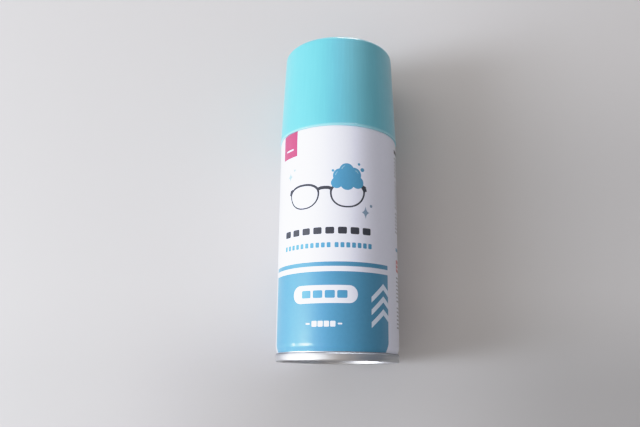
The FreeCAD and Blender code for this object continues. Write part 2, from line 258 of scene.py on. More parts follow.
# ---------------------------------------------------------------- plastics, rubber, liquid
def moulded(name, light, dark, rough, texture, subsurface):
    """Injection-moulded plastic: colour drift, flow lines, fine spark-eroded texture."""
    net = material_net(name)
    place = net.place()
    x, y, z = net.separate(place)
    drift = net.noise(place, scale=0.16)
    flow = net.noise(net.combine(x * 1.1, y * 1.1, z * 0.12), detail=4.0, rough=0.6,
                     distortion=0.4)
    grit = net.noise(place, scale=9.0, detail=2.0, rough=0.6)
    base = net.mix(drift, light, dark)
    base = net.mix(net.ramp(flow, 0.45, 0.75) * 0.15, base, lighter(light, 1.18, 0.02))
    rub = net.ramp(net.noise(place, scale=0.55, detail=4.0, rough=0.6), 0.45, 0.75)
    normal = net.bump(grit, strength=0.18 * texture, distance=0.00002)
    normal = net.bump(net.noise(place, scale=0.7, detail=2.0), strength=0.35 * texture,
                      distance=0.00003, normal=normal)
    return net.principled(
        Base_Color=base, Roughness=(rough - 0.03) + (rub * 0.09 + grit * 0.04),
        Normal=normal, Subsurface_Weight=subsurface, Subsurface_Radius=(1.0, 1.0, 1.0),
        Subsurface_Scale=0.0006)


def cap_plastic():
    """Turquoise polypropylene: flow lines from the gate, faint rib sinks, rubbed edges, a
    painted highlight on the lip.
    """
    light, dark = (0.118, 0.520, 0.640), (0.106, 0.492, 0.612)
    lip_band = (84.5, 85.6)     # heights over which the lip's looks fade out
    net = material_net("cap_turquoise_pp")
    place = net.place()
    x, y, z = net.separate(place)
    radius, angle = net.radius(x, y), net.angle(x, y)

    drift = net.noise(place, scale=0.10)
    down = net.combine(net.math("COSINE", angle) * 26.0, net.math("SINE", angle) * 26.0,
                       z * 0.06 + radius * 0.10)
    flow = net.noise(down, detail=4.0, rough=0.62, distortion=0.3)
    base = net.mix(drift, light, dark)
    base = net.mix(net.ramp(flow, 0.42, 0.72) * 0.16, base, lighter(light, 1.22, 0.01))
    gate = net.fade(radius, 1.5, 4.5) * net.ramp(z, 119.0, 121.0)
    base = net.mix(gate * 0.35, base, lighter(light, 1.3, 0.03))
    lip = net.fade(z, *lip_band)
    crown = net.ramp(z, 120.3, 121.3) * net.ramp(radius, 19.6, 20.8)
    patches = net.ramp(net.noise(place, scale=1.1, detail=5.0, rough=0.65), 0.48, 0.66)
    rub = net.math("MAXIMUM", lip, crown) * patches
    base = net.mix(rub * 0.30, base, lighter(light, 1.15, 0.10))
    # painted highlight: the lip's lowest band is lightened, standing in for light from the
    # white sleeve
    glow = net.ramp(z, *lip_band, before=0.58, after=0.0)
    base = net.mix(glow, base, (0.46, 0.80, 0.88))

    grit = net.noise(place, scale=7.0, detail=2.0, rough=0.6)
    haze = net.ramp(net.noise(place, scale=0.30, detail=4.0, rough=0.6), 0.40, 0.75)
    cells = net.voronoi(net.combine(x * 0.33, y * 0.33, z * 0.10), feature="DISTANCE_TO_EDGE")
    scratch = net.fade(cells, 0.0, 0.012)
    scratch = scratch * net.ramp(net.noise(place, scale=0.25, detail=2.0), 0.54, 0.64)
    # twelve upright sinks, which end below the crown
    ribs = net.math("ABSOLUTE", net.math("SINE", (angle - math.radians(15.0)) * 6.0))
    sink = net.math("MAXIMUM", net.ramp(ribs, 0.0, 0.10), net.ramp(z, 118.0, 119.5))
    normal = net.bump(grit, strength=0.16, distance=0.00002)
    ripple = net.noise(net.combine(x * 0.8, y * 0.8, z * 0.25), detail=2.0)
    normal = net.bump(ripple, strength=0.35, distance=0.00005, normal=normal)
    normal = net.bump(sink, strength=0.25, distance=0.00003, normal=normal)
    return net.principled(
        Base_Color=base, Roughness=0.50 + (haze * 0.07 + (rub * 0.18 + scratch * 0.12)),
        Normal=normal, Subsurface_Weight=0.06, Subsurface_Radius=(0.6, 1.0, 1.0),
        Subsurface_Scale=0.0008, Coat_Weight=0.38, Coat_Roughness=0.08, Sheen_Weight=0.32,
        Sheen_Roughness=0.45, Specular_IOR_Level=0.4)


def rubber(name, colour, speck):
    net = material_net(name)
    place = net.place()
    dust = net.ramp(net.noise(place, scale=5.0, detail=4.0, rough=0.7), 0.55, 0.75)
    return net.principled(
        Base_Color=net.mix(dust * 0.5, colour, speck), Roughness=0.62 + dust * 0.2,
        Normal=net.bump(net.noise(place, scale=6.0), strength=0.4, distance=0.00004))


def tube_plastic():
    """Natural polyethylene: milky, lets some light through, with fine draw lines."""
    net = material_net("tube_milky_pe")
    place = net.place()
    x, y, z = net.separate(place)
    draw = net.noise(net.combine(x * 7.0, y * 7.0, z * 0.1))
    cloud = net.noise(place, scale=0.3)
    return net.principled(
        Base_Color=net.mix(cloud, (0.80, 0.84, 0.84), (0.90, 0.92, 0.91)),
        Roughness=0.28 + draw * 0.15, Subsurface_Weight=0.5,
        Subsurface_Radius=(1.0, 1.0, 1.0), Subsurface_Scale=0.0015,
        Normal=net.bump(draw, strength=0.25, distance=0.00002))


def liquid():
    """Clear cleaner with a trace of blue, and froth and bubbles near its surface."""
    net = material_net("cleaning_liquid")
    place = net.place()
    z = net.separate(place)[2]
    patches = net.ramp(net.noise(place, scale=0.9, detail=4.0, rough=0.6), 0.35, 0.6)
    froth = net.ramp(z, 64.5, 67.6) * patches
    bubble = net.fade(net.voronoi(place, scale=0.55), 0.10, 0.16)
    cloud = net.math("MAXIMUM", froth, bubble * net.ramp(z, 55.0, 67.0))
    return net.principled(
        Base_Color=net.mix(cloud, (0.78, 0.91, 0.97), (0.97, 0.98, 1.0)),
        Transmission_Weight=net.ramp(cloud, 0.0, 1.0, before=0.9, after=0.15),
        Roughness=0.04 + cloud * 0.4, IOR=1.34,
        Normal=net.bump(cloud, strength=0.3, distance=0.0002))


# ---------------------------------------------------------------- printed sleeve inks
def ink(name, colour, other, rough=0.46, coat=0.42, veil=0.30):
    """Mottled ink under a glossy film; veil is how milky it looks at a low angle."""
    net = material_net(name)
    place = net.place()
    tone = net.noise(place, scale=0.9, detail=4.0, rough=0.65)
    dots = net.voronoi(net.combine(*[part * 6.0 for part in net.separate(place)]))
    base = net.mix(net.ramp(tone, 0.35, 0.65) * 0.5, colour, other)
    base = net.mix(net.ramp(dots, 0.25, 0.6) * 0.06, base, lighter(other, 1.1, 0.02))

    # the film: shrink tension lines, fine peel, fingerprints, wrinkles at its lower edge
    x, y, z = net.separate(place)
    pull = net.noise(net.combine(x * 0.9, y * 0.9, z * 0.10), rough=0.6)
    peel = net.noise(place, scale=1.6, detail=2.0)
    smudge = net.ramp(net.noise(place, scale=0.16, detail=5.0, rough=0.6), 0.45, 0.75)
    low = net.fade(z, 3.0, 9.0)
    wrinkle = net.noise(net.combine(x * 1.0, y * 1.0, z * 0.35), rough=0.6)
    normal = net.bump(pull, strength=0.30, distance=0.00004)
    normal = net.bump(peel, strength=0.16, distance=0.00002, normal=normal)
    normal = net.bump(wrinkle * low, strength=0.5, distance=0.00010, normal=normal)
    return net.principled(
        Base_Color=base, Roughness=rough + smudge * 0.07, Coat_Weight=coat,
        Coat_Roughness=0.05 + smudge * 0.05, Normal=normal, Coat_Normal=normal, Coat_IOR=1.5,
        Sheen_Weight=veil, Sheen_Roughness=0.45)


INKS = {
    "white": ink("print_white", (0.825, 0.845, 0.965), (0.795, 0.815, 0.935)),
    "panel": ink("print_blue_panel", (0.055, 0.280, 0.470), (0.047, 0.258, 0.440)),
    "sky": ink("print_blue_text", (0.055, 0.310, 0.530), (0.048, 0.285, 0.495), veil=0.25),
    "navy": ink("print_dark", (0.014, 0.017, 0.032), (0.022, 0.025, 0.042), rough=0.55,
                coat=0.22, veil=0.06),
    "pink": ink("print_pink", (0.430, 0.028, 0.140), (0.405, 0.025, 0.130), veil=0.28),
    "spark": ink("print_spark", (0.22, 0.33, 0.47), (0.25, 0.36, 0.50), veil=0.2),
    "pale": ink("print_pale_spark", (0.30, 0.52, 0.64), (0.36, 0.57, 0.68), veil=0.2),
    "grey": ink("print_small_text", (0.22, 0.23, 0.26), (0.27, 0.28, 0.31)),
    "red": ink("print_red", (0.62, 0.060, 0.055), (0.58, 0.050, 0.048)),
    "foil": ink("print_chevrons", (0.76, 0.86, 1.0), (0.72, 0.82, 0.96)),
}
INK_NAMES = list(INKS)
FILM_BACK = ink("film_inside", (0.80, 0.81, 0.82), (0.76, 0.77, 0.79), rough=0.45, coat=0.1)

# ---------------------------------------------------------------- sleeve shape (millimetres)
BODY_RADIUS = 22.56
# the path under the sleeve, from the foot up: radius, height, corner radius
STEEL_PATH = [
    (21.80, 2.50, 0.0), (22.45, 4.85, 2.0), (BODY_RADIUS, 5.80, 2.5),
    (BODY_RADIUS, 84.50, 2.5), (20.54, 86.30, 0.0),
]
FILM_OUT, FILM_IN = 0.20, 0.12          # the film's two faces, measured off the path
SLEEVE_LOW, SLEEVE_TOP = 3.10, 84.39
SLEEVE_RADIUS = BODY_RADIUS + FILM_OUT
HALF = math.pi * SLEEVE_RADIUS          # half the way round
# the glued seam at the back: half width, width of its step, height of its step
SEAM_HALF, SEAM_STEP, SEAM_LIFT = 1.45, 0.28, 0.055


def cross(first, second):
    return first.x * second.y - first.y * second.x


def rotated(vector, angle):
    c, s = math.cos(angle), math.sin(angle)
    return Vector((vector.x * c - vector.y * s, vector.x * s + vector.y * c))


def rounded_path(stations, steps=24):
    """The path with round corners, as (radius, height, normal radius, normal height)."""
    path = []

    def add(point, along):
        length = math.hypot(along.x, along.y)
        path.append((point.x, point.y, along.y / length, -along.x / length))

    corners = [Vector((radius, height)) for radius, height, _ in stations]
    start = corners[0]
    for i in range(1, len(corners) - 1):
        before = (corners[i] - corners[i - 1]).normalized()
        after = (corners[i + 1] - corners[i]).normalized()
        bend = stations[i][2]
        cut = bend * math.tan(abs(before.angle_signed(after)) / 2)
        arc_start = corners[i] - before * cut
        add(start, before)
        turn = cross(before, after)
        centre = arc_start + Vector((-before.y, before.x)) * (1 if turn > 0 else -1) * bend
        sweep = math.atan2(turn, before.dot(after))
        for k in range(steps + 1):
            angle = sweep * k / steps
            add(rotated(arc_start - centre, angle) + centre, rotated(before, angle))
        start = corners[i] + after * cut
    last = (corners[-1] - corners[-2]).normalized()
    add(start, last)
    add(corners[-1], last)
    return path


def film_profile(offset):
    """Heights, radii, and the normals' radial and upward parts, of one face of the film."""
    rows = np.array(sorted(
        (z + normal_z * offset, radius + normal_radius * offset, normal_radius, normal_z)
        for radius, z, normal_radius, normal_z in rounded_path(STEEL_PATH)))
    keep = np.concatenate(([True], np.diff(rows[:, 0]) > 1e-7))
    return rows[keep].T


OUTER_Z, OUTER_RADIUS = film_profile(FILM_OUT)[:2]
INNER_Z, INNER_RADIUS, INNER_NORMAL_RADIUS, INNER_NORMAL_Z = film_profile(FILM_IN)

# ---------------------------------------------------------------- sleeve artwork
# Plain marks in (distance round the can from its front, height), millimetres; positive
# distances run towards +X. Texts are rows of bars. Each entry is (outline, ink), and
# later ones lie on top.
ARTWORK = []


def lay(outline, ink_name):
    ARTWORK.append((outline, ink_name))


def rect(left, low, right, high):
    return [(left, low), (right, low), (right, high), (left, high)]


def round_rect(left, low, right, high, corner, steps=5):
    corner = min(corner, (right - left) / 2 - 1e-4, (high - low) / 2 - 1e-4)
    points = []
    for x, z, start in ((right - corner, low + corner, -90), (right - corner, high - corner, 0),
                        (left + corner, high - corner, 90), (left + corner, low + corner, 180)):
        for k in range(steps + 1):
            angle = math.radians(start + 90.0 * k / steps)
            points.append((x + corner * math.cos(angle), z + corner * math.sin(angle)))
    return points


def disc(x, z, radius, sides):
    angles = [2 * math.pi * k / sides for k in range(sides)]
    return [(x + radius * math.cos(angle), z + radius * math.sin(angle)) for angle in angles]


def spark(x, z, half_width, half_height, waist=0.16, steps=7):
    """A four-pointed twinkle with hollow sides."""
    tips = [(half_width, 0), (0, half_height), (-half_width, 0), (0, -half_height)]
    points = []
    for k in range(4):
        from_tip, to_tip = tips[k], tips[(k + 1) % 4]
        for j in range(steps):
            t = j / steps
            points.append(tuple(
                centre + (1 - t) ** 2 * a + 2 * t * (1 - t) * ((a + b) * waist) + t * t * b
                for centre, a, b in zip((x, z), from_tip, to_tip)))
    return points


def lens(x, z, skew, grow, half_width=6.0, half_height=4.45, power=2.3, steps=56):
    """One lens of the glasses: a rounded shape, a little wider at its top."""
    points = []
    for k in range(steps):
        angle = 2 * math.pi * k / steps
        c, s = math.cos(angle), math.sin(angle)
        across = math.copysign(abs(c) ** (2 / power), c)
        rise = math.copysign(abs(s) ** (2 / power), s)
        widen = 1.0 + 0.16 * rise
        points.append((x + (half_width + grow) * across * widen + skew * rise,
                       z + (half_height + grow) * rise))
    return points


def stroke(points, start_width, end_width):
    """A line of evenly changing width along a few points."""
    left, right = [], []
    last = len(points) - 1
    for i, (x, z) in enumerate(points):
        before, after = points[max(0, i - 1)], points[min(last, i + 1)]
        along = Vector((after[0] - before[0], after[1] - before[1])).normalized()
        half = (start_width + (end_width - start_width) * i / last) / 2
        left.append((x - along.y * half, z + along.x * half))
        right.append((x + along.y * half, z - along.x * half))
    return left + right[::-1]


def bar_row(left, low, high, width, pitch, count, corner, ink_name):
    for k in range(count):
        start = left + pitch * k
        lay(round_rect(start, low, start + width, high, corner), ink_name)


PANEL_HALF = 25.45
PANEL_FOOT = SLEEVE_LOW - 1.0       # marks that run off the sleeve are cut at its edge


def front_panel():
    """The blue panel, the thin band above it, the pill and a small row of bars."""
    lay(rect(-PANEL_HALF, PANEL_FOOT, PANEL_HALF, 30.26), "panel")
    lay(rect(-PANEL_HALF, 32.08, PANEL_HALF, 33.66), "panel")
    edge = PANEL_HALF + 0.2
    lay([(PANEL_HALF - 0.9, PANEL_FOOT), (edge, PANEL_FOOT), (edge, 7.2)], "white")
    lay(round_rect(-12.0, 19.25, 12.0, 25.45, 3.1, 10), "white")
    bar_row(-8.3, 21.0, 23.7, width=3.55, pitch=4.35, count=4, corner=0.45, ink_name="sky")
    lay(round_rect(-6.5, 12.0, -5.0, 12.55, 0.2), "white")
    bar_row(-4.2, 11.25, 13.2, width=1.8, pitch=2.2, count=4, corner=0.3, ink_name="white")
    lay(round_rect(5.0, 12.0, 6.5, 12.55, 0.2), "white")


def chevrons():
    """Three upward chevrons that run into the panel's right edge."""
    left, middle = 17.25, 22.75
    # heights: apex, upper and lower end at the left
    for apex, left_high, left_low in ((26.84, 21.80, 19.85), (22.48, 17.45, 15.50),
                                      (17.95, 13.15, 11.15)):
        slope = (apex - left_high) / (middle - left)
        fall = (PANEL_HALF - middle) * slope * 0.92
        under = apex - 2.15
        lay([(left, left_low), (middle, under), (PANEL_HALF, under - fall),
             (PANEL_HALF, apex - fall), (middle, apex), (left, left_high)], "foil")


def headings_and_tag():
    bar_row(-17.6, 43.55, 46.05, width=3.2, pitch=4.5, count=8, corner=0.5, ink_name="navy")
    for k in range(17):
        start = -17.6 + 2.06 * k + (0.75 if k > 9 else 0.0)
        lay(round_rect(start, 38.65, start + 1.4, 40.5, 0.3), "sky")
    lay(rect(-20.6, 74.4, -11.8, SLEEVE_TOP + 1.0), "pink")
    lay(round_rect(-18.4, 77.2, -14.0, 77.8, 0.28), "white")


def glasses():
    for side in (-1, 1):
        lay(lens(side * 8.35, 57.95, skew=side * 0.30, grow=0.38), "navy")
        lay(lens(side * 8.35, 57.80, skew=side * 0.30, grow=-0.36), "white")
        hinge = [(side * 13.9, 60.9), (side * 14.7, 60.8), (side * 15.2, 59.5)]
        lay(stroke(hinge, 2.0, 1.0), "navy")
    bridge = [(-2.9, 60.0), (-1.4, 60.55), (0.0, 60.65), (1.4, 60.55), (2.9, 60.0)]
    lay(stroke(bridge, 1.25, 1.25), "navy")


def foam_and_twinkles():
    """A heap of bubbles with small glints, a few loose bubbles and two twinkles."""
    # across, height, radius, sides
    for bubble in ((4.4, 62.3, 2.1, 36), (12.0, 62.6, 2.3, 36), (8.2, 62.2, 2.6, 36),
                   (5.7, 65.0, 2.7, 36), (10.6, 65.4, 2.8, 36), (8.0, 67.0, 2.7, 36),
                   (13.9, 67.6, 0.75, 20), (12.6, 69.6, 0.5, 20), (3.0, 66.9, 0.5, 20)):
        lay(disc(*bubble), "sky")
    # glints: across, height, radius, first and last angle in degrees
    for x, z, radius, first, last in ((8.0, 67.0, 1.85, 110, 165), (5.7, 65.0, 1.75, 120, 175),
                                      (10.6, 65.4, 1.8, 20, 70)):
        angles = [math.radians(first + (last - first) * k / 8) for k in range(9)]
        arc = [(x + radius * math.cos(angle), z + radius * math.sin(angle))
               for angle in angles]
        lay(stroke(arc, 0.16, 0.34), "pale")
    lay(spark(15.1, 51.75, 1.55, 2.35), "spark")
    lay(disc(17.4, 54.4, 0.55, 16), "spark")
    lay(spark(-15.4, 66.8, 1.45, 2.0), "pale")
    lay(disc(-13.0, 69.0, 0.5, 16), "pale")


draws = random.Random(11)
WORD_MIN, WORD_MAX, WORD_GAP = 0.9, 4.2, 0.45
LINE_PITCH, LINE_HEIGHT, PARAGRAPH_GAP = 1.42, 0.56, 1.1
COLUMN_NEAR, COLUMN_FAR = 33.0, 66.5    # text columns, measured from the front both ways


def words(left, right, low, height, ink_name, fill):
    """One row of small bars with word-like gaps over part of the width."""
    start = left
    end = left + (right - left) * fill
    while start < end - WORD_MIN:
        width = min(draws.uniform(WORD_MIN, WORD_MAX), end - start)
        lay(rect(start, low, start + width, low + height), ink_name)
        start += width + WORD_GAP


def block(left, right, top, rows, ink_name="grey", last=0.6):
    """Rows of words; the last row fills only part of the width. Returns the next top."""
    for k in range(rows):
        fill = last if k == rows - 1 else draws.uniform(0.94, 1.0)
        words(left, right, top - k * LINE_PITCH - LINE_HEIGHT, LINE_HEIGHT, ink_name, fill)
    return top - rows * LINE_PITCH


def paragraphs(left, right, top, row_counts):
    for rows in row_counts:
        top = block(left, right, top, rows) - PARAGRAPH_GAP


def right_column():
    left, right = COLUMN_NEAR, COLUMN_FAR
    lay(round_rect(left, 79.0, left + 15.0, 80.5, 0.35), "navy")
    paragraphs(left, right, 77.3, (6, 8, 6))
    lay(round_rect(left, 40.4, left + 11.0, 41.7, 0.3), "sky")
    lay(round_rect(left, 32.6, left + 14.0, 37.2, 0.7), "red")
    for k in range(2):
        words(left + 1.0, left + 13.0, 35.3 - k * 1.5, 0.6, "white", fill=0.95)
    block(left + 15.2, right, 37.0, 3)
    paragraphs(left, right, 30.7, (7, 6))


def left_column():
    left, right = -COLUMN_FAR, -COLUMN_NEAR
    # a ladder of short bars between the column and the front
    for k in range(9):
        drop = 0.85 * k
        lay(rect(-27.3, 80.6 - drop, -26.0 - 0.3 * (k % 3 == 1), 80.95 - drop), "grey")
    lay(round_rect(left, 79.0, left + 19.0, 80.5, 0.35), "navy")
    # four rings, each with a block of text
    for k in range(4):
        top = 76.9 - k * 4.7
        lay(disc(left + 1.5, top - 1.35, 1.35, 24), "sky")
        lay(disc(left + 1.5, top - 1.35, 0.75, 20), "white")
        block(left + 4.2, right, top, 2 if k % 2 else 3, last=0.7)
    # a ruled table with two columns
    table_top, rule = 56.6, 0.14
    for k in range(7):
        top = table_top - k * 2.35
        lay(rect(left, top, right, top + rule), "grey")
        if k < 6:
            words(left + 0.8, left + 9.5, top - 1.45, 0.6, "grey", fill=0.8)
            fill = draws.uniform(0.55, 0.95)
            words(left + 12.4, right - 0.8, top - 1.45, 0.6, "grey", fill)
    lay(rect(left + 11.0, 42.5, left + 11.0 + rule, table_top), "grey")
    # the blue box
    lay(round_rect(left, 12.6, right, 38.6, 1.4, 8), "panel")
    lay(round_rect(left + 2.0, 34.2, left + 17.0, 35.9, 0.4), "white")
    block(left + 2.0, right - 2.0, 32.3, 7, "white")
    block(left + 2.0, right - 2.0, 21.2, 4, "white")


for part in (front_panel, chevrons, headings_and_tag, glasses, foam_and_twinkles,
             right_column, left_column):
    part()


# ---------------------------------------------------------------- sleeve mesh
def lift(across, z):
    """How far the film stands off its true roll: the seam and very small shrink waves."""
    back = HALF - np.abs(across)
    step = np.clip((SEAM_HALF - back) / SEAM_STEP + 0.5, 0, 1)
    height = SEAM_LIFT * step * step * (3 - 2 * step)
    angle = across / SLEEVE_RADIUS
    low = np.clip((9.5 - z) / 5.0, 0, 1) ** 2
    fine = np.sin(23 * angle + 0.6 * np.sin(3 * angle)) + 0.6 * np.sin(41 * angle + 1.3)
    height = height + 0.010 * low * fine
    return height + (0.0035 * np.sin(5 * angle + 0.045 * z)
                     + 0.0025 * np.sin(11 * angle - 0.07 * z + 1.0))


def grid_lines(columns=144):
    """Distances round the can and heights of the sleeve's grid, closer at seam and ends."""
    across = [-HALF + 2 * HALF * k / columns for k in range(columns + 1)]
    for back in (SEAM_HALF + SEAM_STEP / 2, SEAM_HALF, SEAM_HALF - SEAM_STEP / 2):
        across += [-HALF + back, HALF - back]
    across.sort()
    across = [x for i, x in enumerate(across) if i == 0 or x - across[i - 1] > 0.02]
    heights = [SLEEVE_LOW + 0.4 * k for k in range(14)]
    heights += list(np.linspace(9.2, 82.6, 17))
    heights += [83.2, 83.45, 83.7, 83.9, 84.08, 84.25, SLEEVE_TOP]
    return across, heights


def flat_layout():
    """Points and edges of the grid and the artwork, and the outlines cut to the sleeve."""
    points, edges, outlines = [], [], []

    def add_point(x, z):
        points.append(Vector((x, z)))
        return len(points) - 1

    across, heights = grid_lines()
    grid = [[add_point(x, z) for z in heights] for x in across]
    for i in range(len(across)):
        for j in range(len(heights)):
            if j + 1 < len(heights):
                edges.append((grid[i][j], grid[i][j + 1]))
            if i + 1 < len(across):
                edges.append((grid[i][j], grid[i + 1][j]))
    for outline, ink_name in ARTWORK:
        cut = [(min(max(x, -HALF), HALF), min(max(z, SLEEVE_LOW), SLEEVE_TOP))
               for x, z in outline]
        clean = [(x, z) for k, (x, z) in enumerate(cut)
                 if math.hypot(x - cut[k - 1][0], z - cut[k - 1][1]) > 1e-6]
        ids = [add_point(x, z) for x, z in clean]
        edges += [(ids[k - 1], ids[k]) for k in range(len(ids))]
        outlines.append((np.array(clean), ink_name))
    return points, edges, outlines


def triangulate(points, edges):
    """Flat points and triangles, all wound the same way, without slivers of no area."""
    flat, _, faces, *_ = delaunay_2d_cdt(points, edges, [], 0, 1e-6, False)
    flat = np.array([(point.x, point.y) for point in flat])
    triangles = np.array([face for face in faces if len(face) == 3])
    a, b, c = (flat[triangles[:, k]] for k in range(3))
    ab, ac = b - a, c - a
    area = (ab[:, 0] * ac[:, 1] - ab[:, 1] * ac[:, 0]) / 2
    triangles[area < 0] = triangles[area < 0][:, ::-1]
    return flat, triangles[np.abs(area) > 1e-12]


def inside_outline(points, outline):
    """Which points lie inside the outline, by counting the sides they cross."""
    x, z = points[:, 0], points[:, 1]
    inside = np.zeros(len(points), bool)
    for k in range(len(outline)):
        (x0, z0), (x1, z1) = outline[k - 1], outline[k]
        if z0 != z1:
            inside ^= ((z < z0) != (z < z1)) & (x < (x1 - x0) * (z - z0) / (z1 - z0) + x0)
    return inside


def triangle_inks(flat, triangles, outlines):
    middles = flat[triangles].mean(1)
    inks = np.full(len(triangles), INK_NAMES.index("white"))
    for outline, ink_name in outlines:
        low, high = outline.min(0), outline.max(0)
        near = np.where(((middles >= low) & (middles <= high)).all(1))[0]
        inks[near[inside_outline(middles[near], outline)]] = INK_NAMES.index(ink_name)
    return inks


def join_back(flat, triangles):
    """Join the roll's two ends: the right border's points become the left border's."""
    right, left = (
        {round(float(z), 5): i for i, (x, z) in enumerate(flat) if abs(x - edge) < 1e-5}
        for edge in (HALF, -HALF))
    if set(right) != set(left):
        raise RuntimeError("the sleeve's two ends don't match")
    swap = np.arange(len(flat))
    for z, i in right.items():
        swap[i] = left[z]
    triangles = swap[triangles]
    used = np.unique(triangles)
    index = np.full(len(flat), -1)
    index[used] = np.arange(len(used))
    return flat[used], index[triangles]


def rolled(radius, angle, z):
    return np.stack([radius * np.sin(angle), -radius * np.cos(angle), z], 1)


def unit(vectors):
    return vectors / np.linalg.norm(vectors, axis=1)[:, None]


def outer_face(across, z):
    radius = np.interp(z, OUTER_Z, OUTER_RADIUS) + lift(across, z)
    return rolled(radius, across / SLEEVE_RADIUS, z)


def outer_normals(across, z, step=1e-3):
    round_can = outer_face(across + step, z) - outer_face(across - step, z)
    upward = (outer_face(across, np.minimum(z + step, SLEEVE_TOP))
              - outer_face(across, np.maximum(z - step, SLEEVE_LOW)))
    return unit(np.cross(round_can, upward))


def link_object(name, mesh):
    ob = bpy.data.objects.new(name, mesh)
    bpy.context.scene.collection.objects.link(ob)
    return ob


def sleeve():
    points, edges, outlines = flat_layout()
    flat, triangles = triangulate(points, edges)
    inks = triangle_inks(flat, triangles, outlines)
    flat, triangles = join_back(flat, triangles)
    across, z = flat[:, 0], flat[:, 1]
    angle = across / SLEEVE_RADIUS
    count = len(flat)

    outer = outer_face(across, z)
    normal_out = outer_normals(across, z)
    inner = rolled(np.interp(z, INNER_Z, INNER_RADIUS), angle, z)
    normal_in = unit(-rolled(np.interp(z, INNER_Z, INNER_NORMAL_RADIUS), angle,
                             np.interp(z, INNER_Z, INNER_NORMAL_Z)))

    faces = [tuple(int(i) for i in face) for face in triangles]
    faces += [tuple(int(i) + count for i in face[::-1]) for face in triangles]
    normals = [normal_out[i] for face in triangles for i in face]
    normals += [normal_in[i] for face in triangles for i in face[::-1]]
    slots = list(inks) + [len(INK_NAMES)] * len(triangles)
    # close the film's thickness at both ends
    for level, up in ((SLEEVE_LOW, -1.0), (SLEEVE_TOP, 1.0)):
        rim = [i for i in range(count) if abs(z[i] - level) < 1e-6]
        rim.sort(key=lambda i: across[i])
        for k in range(len(rim)):
            i, j = rim[k - 1], rim[k]
            if up > 0:
                i, j = j, i
            faces.append((i, i + count, j + count, j))
            normals += [np.array((0.0, 0.0, up))] * 4
            slots.append(INK_NAMES.index("white"))

    mesh = bpy.data.meshes.new("printed_sleeve")
    mesh.from_pydata((np.concatenate([outer, inner]) * MM).tolist(), [], faces)
    for mat in [*INKS.values(), FILM_BACK]:
        mesh.materials.append(mat)
    mesh.polygons.foreach_set("material_index", np.array(slots, np.int32))
    mesh.polygons.foreach_set("use_smooth", np.ones(len(faces), bool))
    mesh.update()
    mesh.normals_split_custom_set([tuple(normal) for normal in normals])
    ob = link_object("printed_sleeve", mesh)
    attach(ob, "can")
    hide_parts("shrink_label")


# ---------------------------------------------------------------- valve spring (millimetres)
WIRE_RADIUS, COIL_RADIUS = 0.225, 2.42
TURNS, CLOSED_TURNS = 6.0, 0.95         # all turns, and the closed turns at each end
TURN_STEPS, WIRE_SIDES = 54, 14
PITCH_EASE = 0.15                       # turns over which the pitch changes, each way
GROUND_RISE = 0.06                      # slope of the ground faces, per turn


def coil_heights(turn, low, high):
    """The wire centre's height at each station: tight ends, an open middle."""
    tight = 2 * WIRE_RADIUS + 0.012
    height = high - low - 2 * WIRE_RADIUS
    active = (height - 2 * CLOSED_TURNS * tight) / (TURNS - 2 * CLOSED_TURNS)
    top_change = TURNS - CLOSED_TURNS
    closed = (turn < CLOSED_TURNS - PITCH_EASE) | (turn > top_change + PITCH_EASE)
    pitch = np.where(closed, tight, active)
    for change, opening in ((CLOSED_TURNS, True), (top_change, False)):
        ease = np.clip((turn - (change - PITCH_EASE)) / (2 * PITCH_EASE), 0, 1)
        ease = ease * ease * (3 - 2 * ease)
        near = np.abs(turn - change) <= PITCH_EASE
        pitch[near] = (tight + (active - tight) * (ease if opening else 1 - ease))[near]
    climb = np.cumsum((pitch[1:] + pitch[:-1]) / 2 * np.diff(turn))
    rise = np.concatenate(([0], climb))
    return low + WIRE_RADIUS + rise * height / rise[-1]


def spring():
    """Compression spring with closed, ground ends, under the stem's collar."""
    box_low, box_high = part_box("valve_spring")
    low, high = box_low.z / MM, box_high.z / MM
    total = int(TURNS * TURN_STEPS)
    turn = np.linspace(0, TURNS, total + 1)
    heights = coil_heights(turn, low, high)
    verts, faces = [], []
    for i in range(total + 1):
        angle = 2 * math.pi * turn[i]
        radial = Vector((math.cos(angle), math.sin(angle), 0))
        after, before = min(i + 1, total), max(i - 1, 0)
        sweep = (turn[after] - turn[before]) * 2 * math.pi
        slope = (heights[after] - heights[before]) / sweep
        tangent = Vector((-math.sin(angle) * COIL_RADIUS, math.cos(angle) * COIL_RADIUS,
                          slope)).normalized()
        side = tangent.cross(radial).normalized()
        floor = low + GROUND_RISE * max(0.0, 1 - turn[i])
        ceiling = high - GROUND_RISE * max(0.0, 1 - (TURNS - turn[i]))
        for k in range(WIRE_SIDES):
            around = 2 * math.pi * k / WIRE_SIDES
            vert = (radial * (COIL_RADIUS + WIRE_RADIUS * math.cos(around))
                    + side * (WIRE_RADIUS * math.sin(around)) + Vector((0, 0, heights[i])))
            vert.z = min(max(vert.z, floor), ceiling)
            verts.append(tuple(vert * MM))
    for i in range(total):
        for k in range(WIRE_SIDES):
            a, b = i * WIRE_SIDES + k, i * WIRE_SIDES + (k + 1) % WIRE_SIDES
            faces.append((a, a + WIRE_SIDES, b + WIRE_SIDES, b))
    faces.append(tuple(range(WIRE_SIDES)))
    faces.append(tuple(total * WIRE_SIDES + k for k in reversed(range(WIRE_SIDES))))
    mesh = bpy.data.meshes.new("coil_spring")
    mesh.from_pydata(verts, [], faces)
    mesh.polygons.foreach_set("use_smooth", np.array([len(f) == 4 for f in faces], bool))
    mesh.materials.append(drawn_wire("spring_wire"))
    mesh.update()
    ob = link_object("coil_spring", mesh)
    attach(ob, "can")
    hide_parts("valve_spring")
    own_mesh(ob)


sleeve()
spring()

